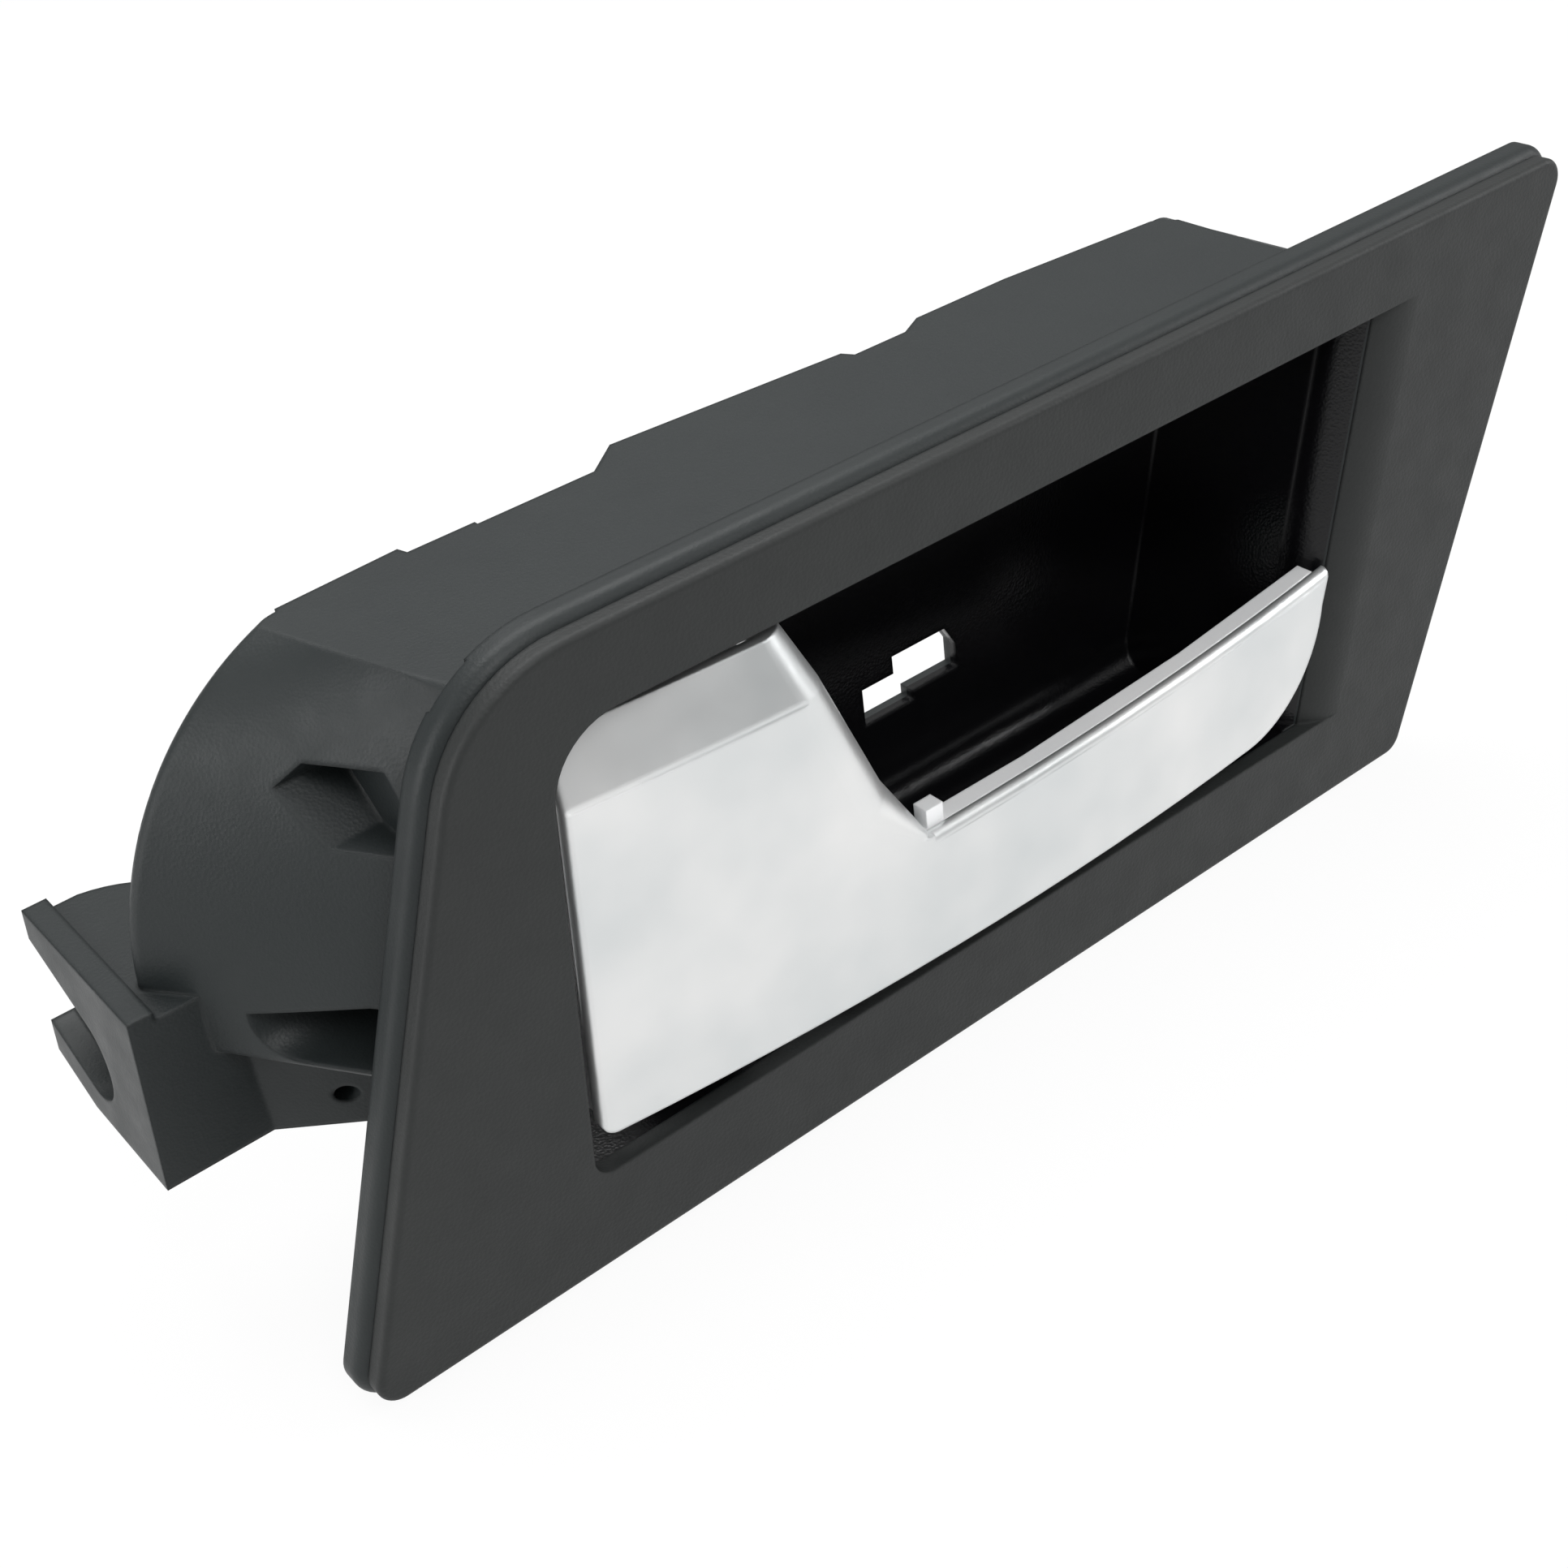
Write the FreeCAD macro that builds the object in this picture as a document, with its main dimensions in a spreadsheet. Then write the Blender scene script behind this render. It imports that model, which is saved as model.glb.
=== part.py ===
import FreeCAD, Part
import math
import os
import Sketcher

# Car interior door handle, in millimetres.
# The origin lies on the lower strip of the flange's rear face, where the handle sits on the door
# trim. X runs along the plate, Y goes into the door, Z is up.
# The sketches count heights from the plate's middle, and each piece is then raised by seat_down.

doc = FreeCAD.newDocument("door_handle")
sheet = doc.addObject("Spreadsheet::Sheet", "Sizes")
vector = FreeCAD.Vector


class Linked:
    """A number together with the sheet formula that gives it."""

    def __init__(self, number, formula):
        self.number = float(number)
        self.formula = formula

    def __add__(self, other):
        other = linked(other)
        return Linked(self.number + other.number, f"({self.formula} + {other.formula})")

    def __radd__(self, other):
        return linked(other) + self

    def __sub__(self, other):
        other = linked(other)
        return Linked(self.number - other.number, f"({self.formula} - {other.formula})")

    def __rsub__(self, other):
        return linked(other) - self

    def __mul__(self, other):
        other = linked(other)
        return Linked(self.number * other.number, f"({self.formula} * {other.formula})")

    def __rmul__(self, other):
        return linked(other) * self

    def __truediv__(self, other):
        other = linked(other)
        return Linked(self.number / other.number, f"({self.formula} / {other.formula})")

    def __neg__(self):
        return Linked(-self.number, f"(0 - {self.formula})")


def linked(value):
    return value if isinstance(value, Linked) else Linked(value, repr(float(value)))


def root(value):
    return Linked(math.sqrt(value.number), f"sqrt({value.formula})")


def sine(angle):
    return Linked(math.sin(math.radians(angle.number)), f"sin({angle.formula})")


def cosine(angle):
    return Linked(math.cos(math.radians(angle.number)), f"cos({angle.formula})")


def size(alias, number):
    """Write a driving dimension into the sheet and return it."""
    size.row += 1
    sheet.set(f"A{size.row}", alias.replace("_", " "))
    sheet.set(f"B{size.row}", str(number))
    sheet.setAlias(f"B{size.row}", alias)
    return Linked(number, f"Sizes.{alias}")


size.row = 0

# Plate: a slanted four-sided front with one large corner
plate_length = size("plate_length", 170)
plate_height = size("plate_height", 79)
plate_shift = size("plate_shift", 28.3)
plate_large_corner = size("plate_large_corner", 18)
plate_small_corner = size("plate_small_corner", 3)
bezel_thickness = size("bezel_thickness", 2.4)
bezel_edge_radius = size("bezel_edge_radius", 0.8)
flange_thickness = size("flange_thickness", 3.6)
flange_overhang = size("flange_overhang", 1.1)
flange_edge_radius = size("flange_edge_radius", 1.8)
relief_depth = size("relief_depth", 0.4)
relief_width = size("relief_width", 2.6)
relief_end_width = size("relief_end_width", 1.3)

# Height of the plate's middle over the seat's reference point
seat_down = size("seat_down", 35)

# Opening in the plate
opening_top = size("opening_top", 30)
opening_bottom = size("opening_bottom", 26.5)
opening_left = size("opening_left", 64.9)
opening_left_lean = size("opening_left_lean", 5.1)
opening_right = size("opening_right", 63.4)
opening_right_lean = size("opening_right_lean", 12.6)
opening_large_corner = size("opening_large_corner", 9)
opening_small_corner = size("opening_small_corner", 2.5)
lip_radius = size("lip_radius", 8)
stake_radius = size("stake_radius", 1)
stake_head_radius = size("stake_head_radius", 1.6)
stake_head_height = size("stake_head_height", 0.9)
stake_room = size("stake_room", 0.1)
stake_inset = size("stake_inset", 5)
stake_top_inset = size("stake_top_inset", 1.6)
stake_side_inset = size("stake_side_inset", 9)
stake_pitch = size("stake_pitch", 50)
stake_first_top = size("stake_first_top", 40)
stake_first_low = size("stake_first_low", 58)

# Housing behind the plate
wall = size("wall", 2.4)
rim_margin = size("rim_margin", 3.5)
side_margin = size("side_margin", 4.4)
floor_drop = size("floor_drop", 0.8)
recess_depth = size("recess_depth", 25)
housing_depth = size("housing_depth", 27.4)
shoulder_radius = size("shoulder_radius", 4.5)
recess_draw = size("recess_draw", 1.5)
floor_fillet = size("floor_fillet", 5)
swing_room = size("swing_room", 3)
top_rim_right = size("top_rim_right", 59.8)

# Rounded left end of the housing, wider at the back
drum_radius = size("drum_radius", 38.5)
drum_centre = size("drum_centre", 62.1)
drum_bottom = size("drum_bottom", 6.3)
drum_edge_radius = size("drum_edge_radius", 1.5)
drum_depth = size("drum_depth", 28)
cavity_front = size("cavity_front", 18)
box_bottom = size("box_bottom", 19.5)
box_front = size("box_front", 66)
web_left = size("web_left", 92)
web_front = size("web_front", 20.3)

# Cable bracket
bracket_left = size("bracket_left", 105.2)
bracket_lean = size("bracket_lean", 2)
bracket_top = size("bracket_top", 3)
bracket_rear = size("bracket_rear", 48.3)
bracket_thickness = size("bracket_thickness", 3)
cable_line = size("cable_line", 36)
cable_height = size("cable_height", 10.4)
slot_radius = size("slot_radius", 5.5)
slot_tilt = size("slot_tilt", 17)
shelf_step = size("shelf_step", 1)
shelf_right = size("shelf_right", 86)

# Windows in the housing's left end and the stepped hole through the recess
window_depth = size("window_depth", 28)
window_front = size("window_front", 1.2)
upper_window_base = size("upper_window_base", 18.6)
upper_window_rise = size("upper_window_rise", 8.4)
upper_window_reach = size("upper_window_reach", 15.8)
lower_window_base = size("lower_window_base", 5.1)
lower_window_top = size("lower_window_top", 2.6)
lower_window_reach = size("lower_window_reach", 16)
lower_window_corner = size("lower_window_corner", 5.5)
hole_low = size("hole_low", 13.6)
hole_first = size("hole_first", 8.3)
hole_second = size("hole_second", 5.4)
hole_right = size("hole_right", 16.3)
hole_step = size("hole_step", 1.4)
hole_height = size("hole_height", 5.4)
hole_rise = size("hole_rise", 2.6)

# Steps along the rear edge of the top rim
rim_end_bevel = size("rim_end_bevel", 2.5)
rim_tab_right = size("rim_tab_right", 32.6)
rim_tab_left = size("rim_tab_left", 17.8)
rim_tab_depth = size("rim_tab_depth", 4.4)
rim_low_depth = size("rim_low_depth", 2.2)
rim_hump_right = size("rim_hump_right", 5.2)
rim_hump_left = size("rim_hump_left", 27.4)
rim_hump_depth = size("rim_hump_depth", 4)
rim_hump_rise = size("rim_hump_rise", 2.5)
rim_notch_depth = size("rim_notch_depth", 0.8)
rim_left_step = size("rim_left_step", 57)
rim_left_depth = size("rim_left_depth", 4.5)

# Pivot
pivot_across = size("pivot_across", 48)
pivot_depth = size("pivot_depth", 5)
pin_radius = size("pin_radius", 2.5)
pin_room = size("pin_room", 0.05)
pin_press = size("pin_press", 0.02)
pin_head_radius = size("pin_head_radius", 4)
pin_head_height = size("pin_head_height", 1.2)
boss_radius = size("boss_radius", 6)
upper_boss_radius = size("upper_boss_radius", 4.4)
barrel_radius = size("barrel_radius", 6)
barrel_top = size("barrel_top", 26)
barrel_bottom = size("barrel_bottom", 20)
end_play = size("end_play", 0.3)
bushing_radius = size("bushing_radius", 3.8)
bushing_flange = size("bushing_flange", 1)
bushing_length = size("bushing_length", 9)
blind_end = size("blind_end", 5)

# Lever
lever_gap = size("lever_gap", 1.9)
lever_gap_high = size("lever_gap_high", 1.1)
lever_top_gap = size("lever_top_gap", 2)
lever_bottom_gap = size("lever_bottom_gap", 4.3)
lever_proud = size("lever_proud", 3)
lever_bow = size("lever_bow", 480)
lever_middle = size("lever_middle", 4)
cover_thickness = size("cover_thickness", 1.5)
paddle_right_top = size("paddle_right_top", 31)
paddle_right_bottom = size("paddle_right_bottom", 17.5)
paddle_roll = size("paddle_roll", 7)
paddle_return_width = size("paddle_return_width", 5)
paddle_return_rear = size("paddle_return_rear", 1.5)
cover_large_corner = size("cover_large_corner", 7)
cover_small_corner = size("cover_small_corner", 2)
cover_boss_radius = size("cover_boss_radius", 2)
boss_length = size("boss_length", 2)
bar_top = size("bar_top", 4.8)
bar_rise = size("bar_rise", 1.5)
bar_tip = size("bar_tip", 55.4)
bar_end_radius = size("bar_end_radius", 16)
bar_depth = size("bar_depth", 8.5)
bar_thick_left = size("bar_thick_left", 28)
body_inset = size("body_inset", 1.2)
crease_height = size("crease_height", 20.5)
crease_fall = size("crease_fall", 3)
crease_groove_width = size("crease_groove_width", 0.6)
crease_groove_depth = size("crease_groove_depth", 0.2)
cover_edge_radius = size("cover_edge_radius", 0.9)
bar_edge_radius = size("bar_edge_radius", 1.2)
strip_depth = size("strip_depth", 2.3)
grip_slope = size("grip_slope", 1.2)
skirt_width = size("skirt_width", 2)
skirt_rear = size("skirt_rear", 2)
tab_width = size("tab_width", 2.6)
tab_rise = size("tab_rise", 2.4)
paddle_plate = size("paddle_plate", 3)
body_room = size("body_room", 0.15)
arm_length = size("arm_length", 32.5)
arm_angle = size("arm_angle", 17.5)
arm_width = size("arm_width", 7)
arm_thickness = size("arm_thickness", 4)
eye_radius = size("eye_radius", 5.2)
eye_bush_radius = size("eye_bush_radius", 3.2)
eye_bore = size("eye_bore", 2)
eye_bush_flange = size("eye_bush_flange", 0.8)

# Return spring, bumper and screws
spring_wire = size("spring_wire", 1.2)
spring_radius = size("spring_radius", 5.8)
spring_turns = size("spring_turns", 3)
spring_pitch = size("spring_pitch", 1.5)
spring_leg = size("spring_leg", 11)
neck_radius = size("neck_radius", 4.6)
neck_height = size("neck_height", 10.5)
partition_left = size("partition_left", 31.4)
partition_relief = size("partition_relief", 2.2)
partition_step = size("partition_step", 1)
bumper_height = size("bumper_height", 5)
bumper_width = size("bumper_width", 5.8)
bumper_grip = size("bumper_grip", 3.5)
bumper_pad = size("bumper_pad", 2)
bumper_room = size("bumper_room", 0.05)
bumper_stem_radius = size("bumper_stem_radius", 2)
travel_bumper_depth = size("travel_bumper_depth", 20)
travel_bumper_radius = size("travel_bumper_radius", 3.5)
stop_gap = size("stop_gap", 0.1)
rest_bumper_low = size("rest_bumper_low", -4.7)
screw_radius = size("screw_radius", 1.1)
screw_head_radius = size("screw_head_radius", 2.2)
screw_head_height = size("screw_head_height", 1.4)
screw_left = size("screw_left", 59)
screw_middle = size("screw_middle", 38.5)
screw_inner = size("screw_inner", 8)
screw_outer = size("screw_outer", 36)
screw_high = size("screw_high", 12)
screw_low = size("screw_low", 13)
side_hole_radius = size("side_hole_radius", 1.2)

doc.recompute()

front = -(bezel_thickness + flange_thickness)
bezel_back = -flange_thickness
half_height = plate_height / 2
opening_height = opening_top + opening_bottom
housing_top = half_height - rim_margin
housing_floor = -(opening_bottom + floor_drop + wall)


def bind(item, property_name, value):
    item.setExpression(property_name, linked(value).formula)


def plane(body, role):
    return [feature for feature in body.Origin.OriginFeatures if feature.Role == role][0]


def make_body(label):
    body = doc.addObject("PartDesign::Body", label)
    body.Label = label
    bind(body, "Placement.Base.z", seat_down)
    return body


def make_sketch(body, name, role, offset):
    """A sketch on one of the body's own planes, moved along the plane's normal by offset."""
    sketch = body.newObject("Sketcher::SketchObject", name)
    sketch.AttachmentSupport = [(plane(body, role), "")]
    sketch.MapMode = "FlatFace"
    bind(sketch, "AttachmentOffset.Base.z", offset)
    return sketch


def arc_between(start, end, radius):
    """The short arc between two points, with its centre on the left for a positive radius."""
    chord = end - start
    middle = (start + end) / 2
    left = vector(-chord.y, chord.x, 0).normalize()
    reach = math.sqrt(max(radius * radius - chord.Length ** 2 / 4, 0))
    centre = middle + left * (reach if radius > 0 else -reach)
    first, last = (start, end) if radius > 0 else (end, start)
    first_angle = math.atan2(first.y - centre.y, first.x - centre.x)
    last_angle = math.atan2(last.y - centre.y, last.x - centre.x)
    if last_angle < first_angle:
        last_angle += 2 * math.pi
    circle = Part.Circle(centre, vector(0, 0, 1), abs(radius))
    return Part.ArcOfCircle(circle, first_angle, last_angle)


def draw_outline(sketch, corners):
    """Close an outline through the corners.

    A corner is (x, y), or (x, y, radius) where an arc of that radius leads to the next one.
    """
    corners = [tuple(linked(value) for value in corner) for corner in corners]
    points = [vector(corner[0].number, corner[1].number, 0) for corner in corners]
    count = len(corners)
    first = sketch.GeometryCount
    starts = []
    ends = []
    for index, corner in enumerate(corners):
        start = points[index]
        end = points[(index + 1) % count]
        if len(corner) == 3:
            piece = arc_between(start, end, corner[2].number)
            starts.append(1 if corner[2].number > 0 else 2)
            ends.append(2 if corner[2].number > 0 else 1)
        else:
            piece = Part.LineSegment(start, end)
            starts.append(1)
            ends.append(2)
        sketch.addGeometry(piece, False)
    for index, corner in enumerate(corners):
        following = (index + 1) % count
        sketch.addConstraint(Sketcher.Constraint(
            "Coincident", first + index, ends[index], first + following, starts[following]))
        for name, value in (("DistanceX", corner[0]), ("DistanceY", corner[1])):
            number = sketch.addConstraint(Sketcher.Constraint(
                name, -1, 1, first + index, starts[index], value.number))
            bind(sketch, f"Constraints[{number}]", value)
        if len(corner) == 3:
            radius = abs(corner[2].number)
            number = sketch.addConstraint(Sketcher.Constraint("Radius", first + index, radius))
            bind(sketch, f"Constraints[{number}]", corner[2] if corner[2].number > 0 else -corner[2])


def draw_circle(sketch, across, up, radius):
    across, up, radius = linked(across), linked(up), linked(radius)
    centre = vector(across.number, up.number, 0)
    index = sketch.addGeometry(Part.Circle(centre, vector(0, 0, 1), radius.number), False)
    for name, value in (("DistanceX", across), ("DistanceY", up)):
        number = sketch.addConstraint(Sketcher.Constraint(name, -1, 1, index, 3, value.number))
        bind(sketch, f"Constraints[{number}]", value)
    number = sketch.addConstraint(Sketcher.Constraint("Radius", index, radius.number))
    bind(sketch, f"Constraints[{number}]", radius)


# A sketch on the XZ plane faces -Y, so a place along Y is an offset of the other sign,
# and a solid grown from it into the door is a reversed one
AXIS_ROLES = {"x": "YZ_Plane", "y": "XZ_Plane", "z": "XY_Plane"}


def extrude(body, name, kind, axis, start, length, outlines, circles=()):
    """Add or cut the solid between start and start + length along an axis."""
    offset = -linked(start) if axis == "y" else linked(start)
    sketch = make_sketch(body, name + "_sketch", AXIS_ROLES[axis], offset)
    for outline in outlines:
        draw_outline(sketch, outline)
    for circle in circles:
        draw_circle(sketch, *circle)
    before = body.Shape.Volume if body.Tip else 0
    feature = body.newObject("PartDesign::" + kind, name)
    feature.Profile = sketch
    forward = axis != "y"
    feature.Reversed = (not forward) if kind == "Pad" else forward
    bind(feature, "Length", length)
    sketch.Visibility = False
    doc.recompute()
    grown = body.Shape.Volume - before
    if (kind == "Pad") != (grown > 0):
        raise ValueError(f"{name} changed the volume by {grown:.3f}")
    return feature


def loft(body, name, kind, axis, sections):
    """Add or cut a straight-sided solid between outlines at two or more places along an axis."""
    sketches = []
    for number, (place, outline) in enumerate(sections):
        offset = -linked(place) if axis == "y" else linked(place)
        sketch = make_sketch(body, f"{name}_{number}", AXIS_ROLES[axis], offset)
        draw_outline(sketch, outline)
        sketch.Visibility = False
        sketches.append(sketch)
    before = body.Shape.Volume if body.Tip else 0
    feature = body.newObject("PartDesign::" + kind, name)
    feature.Profile = sketches[0]
    feature.Sections = sketches[1:]
    feature.Ruled = True
    doc.recompute()
    grown = body.Shape.Volume - before
    if (kind == "AdditiveLoft") != (grown > 0):
        raise ValueError(f"{name} changed the volume by {grown:.3f}")
    return feature


def edges_where(shape, test):
    """Names of the edges whose middle point and direction pass a test."""
    names = []
    for number, edge in enumerate(shape.Edges, 1):
        first, last = edge.ParameterRange
        middle = edge.valueAt((first + last) / 2)
        direction = edge.tangentAt((first + last) / 2)
        if test(middle, direction, edge):
            names.append(f"Edge{number}")
    return names


def dress(body, name, kind, value, test):
    """Round or chamfer the edges of the body's tip that pass the test."""
    base = body.Tip
    names = edges_where(base.Shape, test)
    if not names:
        raise ValueError(f"{name} found no edge")
    feature = body.newObject("PartDesign::" + kind, name)
    feature.Base = (base, names)
    bind(feature, "Radius" if kind == "Fillet" else "Size", value)
    doc.recompute()
    return feature


def near(point, across, up, room=1.0):
    """True where a point lies close to a place in the front view."""
    return math.hypot(point.x - linked(across).number, point.z - linked(up).number) < room


def slanted(length, height, shift):
    """Corners of a slanted four-sided outline about the origin, from the lower left."""
    return [(-length / 2 - shift / 2, -height / 2), (length / 2 - shift / 2, -height / 2),
            (length / 2 + shift / 2, height / 2), (-length / 2 + shift / 2, height / 2)]


def round_plate(body, name, corners, large, small):
    """Round the four upright edges of a plate, with the large radius at the upper left."""
    upper_left = corners[3]
    others = corners[:3]
    dress(body, name + "_large", "Fillet", large,
          lambda point, way, edge: abs(way.y) > 0.99 and near(point, *upper_left))
    dress(body, name + "_small", "Fillet", small,
          lambda point, way, edge: abs(way.y) > 0.99 and any(near(point, *c) for c in others))


def opening_side(across, lean, up):
    """Place of a leaning side of the opening at a height."""
    middle = (opening_top - opening_bottom) / 2
    return across + lean * (up - middle) / opening_height


def opening_left_at(up, outward=0):
    return opening_side(-opening_left, opening_left_lean, linked(up)) - outward


def opening_right_at(up, outward=0):
    return opening_side(opening_right, opening_right_lean, linked(up)) + outward


def opening_outline(left, right, top, bottom):
    """The opening's outline, with each side moved outwards by its own amount."""
    high = opening_top + top
    low = -opening_bottom - bottom
    return [(opening_left_at(low, left), low), (opening_right_at(low, right), low),
            (opening_right_at(high, right), high), (opening_left_at(high, left), high)]


def plate_side_at(up, inward):
    """The plate's left side at a height, moved inwards."""
    return -plate_length / 2 + plate_shift * linked(up) / plate_height + inward


# Roll of the opening's right side, cut through the bezel and the housing alike
def roll_section(up):
    tangent = opening_right_at(up)
    return [(tangent - lip_radius, front + lip_radius, lip_radius), (tangent, front),
            (tangent, front - 1), (tangent - lip_radius - 1, front - 1),
            (tangent - lip_radius - 1, front + lip_radius)]


def cut_roll(body, name):
    loft(body, name, "SubtractiveLoft", "z", [
        (-opening_bottom, roll_section(-opening_bottom)), (opening_top, roll_section(opening_top))])


# Housing
housing = make_body("housing")
overhang = flange_overhang
slope = plate_shift / plate_height
flange_corners = slanted(plate_length + overhang * 2, plate_height + overhang * 2,
                         plate_shift + overhang * 2 * slope)
extrude(housing, "flange", "Pad", "y", bezel_back, flange_thickness, [flange_corners])
round_plate(housing, "flange_corner", flange_corners, plate_large_corner + overhang,
            plate_small_corner + overhang)
dress(housing, "flange_edge", "Fillet", flange_edge_radius,
      lambda point, way, edge: abs(point.y - bezel_back.number) < 0.01)

# Shallow relief beside the rounded end, so that the trim lies flat beside its leaning side
relief_low = -drum_bottom - 1
relief_high = housing_top + 0.2
relief_turn = relief_high - 6
extrude(housing, "seat_relief", "Pocket", "y", -relief_depth, relief_depth + 1, [[
    (plate_side_at(relief_low, side_margin - relief_width), relief_low),
    (plate_side_at(relief_low, side_margin + relief_width), relief_low),
    (plate_side_at(relief_high, side_margin + relief_width), relief_high),
    (plate_side_at(relief_high, side_margin - relief_end_width), relief_high),
    (plate_side_at(relief_turn, side_margin - relief_width), relief_turn)]])

bowl_top = housing_top - opening_top
bowl_bottom = floor_drop + wall
loft(housing, "bowl", "AdditiveLoft", "y", [
    (0, opening_outline(swing_room + wall, wall - lip_radius, bowl_top, bowl_bottom)),
    (housing_depth, opening_outline(swing_room + wall, wall - lip_radius - recess_draw,
                                    bowl_top, bowl_bottom))])
bowl_corner = opening_right_at(housing_top, wall - lip_radius)
dress(housing, "bowl_shoulder", "Fillet", shoulder_radius,
      lambda point, way, edge: abs(way.y) > 0.9 and near(point, bowl_corner, housing_top, 2))

# Rounded left end, lofted from a straight side behind the plate to an arc at the back
drum_right = -pivot_across
drum_front_top = plate_side_at(housing_top, side_margin)
drum_front_low = plate_side_at(-drum_bottom, side_margin)


def drum_back_at(up, inward):
    """Place of the drum's rear outline at a height."""
    up = linked(up)
    reach = root((drum_radius - inward) * (drum_radius - inward) - up * up)
    return -drum_centre - reach


loft(housing, "drum", "AdditiveLoft", "y", [
    (-relief_depth - 0.1, [(drum_front_low, -drum_bottom), (drum_right, -drum_bottom),
         (drum_right, housing_top), (drum_front_top, housing_top)]),
    (drum_depth, [(drum_back_at(-drum_bottom, 0), -drum_bottom), (drum_right, -drum_bottom),
                  (drum_right, housing_top),
                  (drum_back_at(housing_top, 0), housing_top, drum_radius)])])


def on_drum_edge(point, way, edge):
    """The rounded end's rear and bottom edges."""
    inside = 1 < point.y < drum_depth.number - 1
    below = abs(point.z + drum_bottom.number) < 0.05 and point.x < drum_front_low.number and inside
    behind = abs(point.y - drum_depth.number) < 0.05 and point.x < drum_back_at(housing_top, 0).number
    return below or behind


def roll_of_drum(across, lower, ease):
    """Cutter outline for the roll along the rounded end's top edge."""
    start = housing_top - drum_edge_radius
    end = across + drum_edge_radius
    return [(lower, start, -drum_edge_radius * ease), (end, housing_top), (end, housing_top + 3),
            (lower - 3, housing_top + 3), (lower - 3, start)]


dress(housing, "drum_edge", "Fillet", drum_edge_radius, on_drum_edge)
loft(housing, "drum_top_edge", "SubtractiveLoft", "y", [
    (-relief_depth, roll_of_drum(drum_front_top, plate_side_at(housing_top - drum_edge_radius, side_margin),
                     1.15)),
    (drum_depth, roll_of_drum(drum_back_at(housing_top, 0),
                              drum_back_at(housing_top - drum_edge_radius, 0), 2.2))])
box_plan = [(-box_front, 0), (drum_right, 0), (drum_right, housing_depth),
            (-web_left, housing_depth), (-web_left, web_front)]
extrude(housing, "cable_box", "Pad", "z", -box_bottom, box_bottom - drum_bottom + 1, [box_plan])

# Top rim, which runs past the back wall in steps
back = recess_depth
rim_left = drum_front_top + drum_edge_radius
rim_left_rear = drum_back_at(housing_top, 0) + drum_edge_radius * 1.5
rim_plan = [
    (rim_left, 0), (top_rim_right, 0), (top_rim_right, back),
    (top_rim_right - rim_end_bevel, back + rim_end_bevel),
    (rim_tab_right, back + rim_tab_depth), (rim_tab_left, back + rim_tab_depth),
    (rim_tab_left - 4, back + rim_low_depth), (rim_hump_right + 1, back + rim_low_depth),
    (rim_hump_right, back + rim_hump_depth), (-rim_hump_left, back + rim_hump_depth + rim_hump_rise),
    (-rim_hump_left - 7, back + rim_notch_depth), (-rim_left_step + 1, back + rim_notch_depth),
    (-rim_left_step, back + rim_left_depth), (rim_left_rear + 1, back + rim_left_depth - 1),
    (rim_left_rear, back)]
extrude(housing, "top_rim", "Pad", "z", housing_top - wall, wall, [rim_plan])

# Cable bracket: a leaning side plate, a web across its front and a shelf on top
left_low = -bracket_left
left_high = -bracket_left + bracket_lean
web_top = bracket_top - shelf_step - wall / 2
extrude(housing, "bracket_side", "Pad", "y", web_front, bracket_rear - web_front, [[
    (left_low, -box_bottom), (left_low + bracket_thickness, -box_bottom),
    (left_high + bracket_thickness, bracket_top), (left_high, bracket_top)]])
extrude(housing, "bracket_web", "Pad", "y", web_front, wall, [[
    (left_low, -box_bottom), (-web_left + wall, -box_bottom), (-web_left + wall, web_top),
    (left_high, web_top)]])
shelf_plan = [(left_high + 1, web_front), (-shelf_right, web_front),
              (-shelf_right, bracket_rear - 14, 14), (-shelf_right - 11, bracket_rear - 0.6),
              (left_high + 1, bracket_rear - 0.6)]
extrude(housing, "bracket_shelf", "Pad", "z", bracket_top - shelf_step - wall, wall, [shelf_plan])

# The inside: finger recess, the cavity of the rounded end and the cavity of the box
loft(housing, "recess", "SubtractiveLoft", "y", [
    (0, opening_outline(swing_room, -lip_radius, bowl_top - wall, floor_drop)),
    (recess_depth, opening_outline(swing_room, -lip_radius - recess_draw, bowl_top - wall,
                                   floor_drop))])
chamber_floor = -(opening_bottom + floor_drop)
dress(housing, "floor_round", "Fillet", floor_fillet,
      lambda point, way, edge: abs(way.x) > 0.99 and abs(point.y - recess_depth.number) < 0.1
      and abs(point.z - chamber_floor.number) < 0.1)
inner_high = housing_top - wall
cavity_right = opening_left_at(0, swing_room + wall)
cavity_low = -drum_bottom + wall
mixed = (1 - cavity_front / drum_depth)


def cavity_left_at(up):
    """Inner face of the rounded end where its cavity begins, at a height."""
    return plate_side_at(up, side_margin) * mixed + drum_back_at(up, 0) * (1 - mixed) + wall * 1.5


loft(housing, "drum_cavity", "SubtractiveLoft", "y", [
    (cavity_front, [(cavity_left_at(cavity_low), cavity_low), (cavity_right, cavity_low),
                    (cavity_right, inner_high), (cavity_left_at(inner_high) + 2, inner_high)]),
    (drum_depth, [(drum_back_at(cavity_low, wall), cavity_low), (cavity_right, cavity_low),
                  (cavity_right, inner_high),
                  (drum_back_at(inner_high, wall), inner_high, drum_radius - wall)])])
box_cavity = [(cavity_right, 8), (cavity_right, housing_depth - wall),
              (-web_left + wall, housing_depth - wall), (-web_left + wall, web_front + wall)]
extrude(housing, "box_cavity", "Pocket", "z", -box_bottom + wall, box_bottom - wall - drum_bottom,
        [box_cavity])

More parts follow.
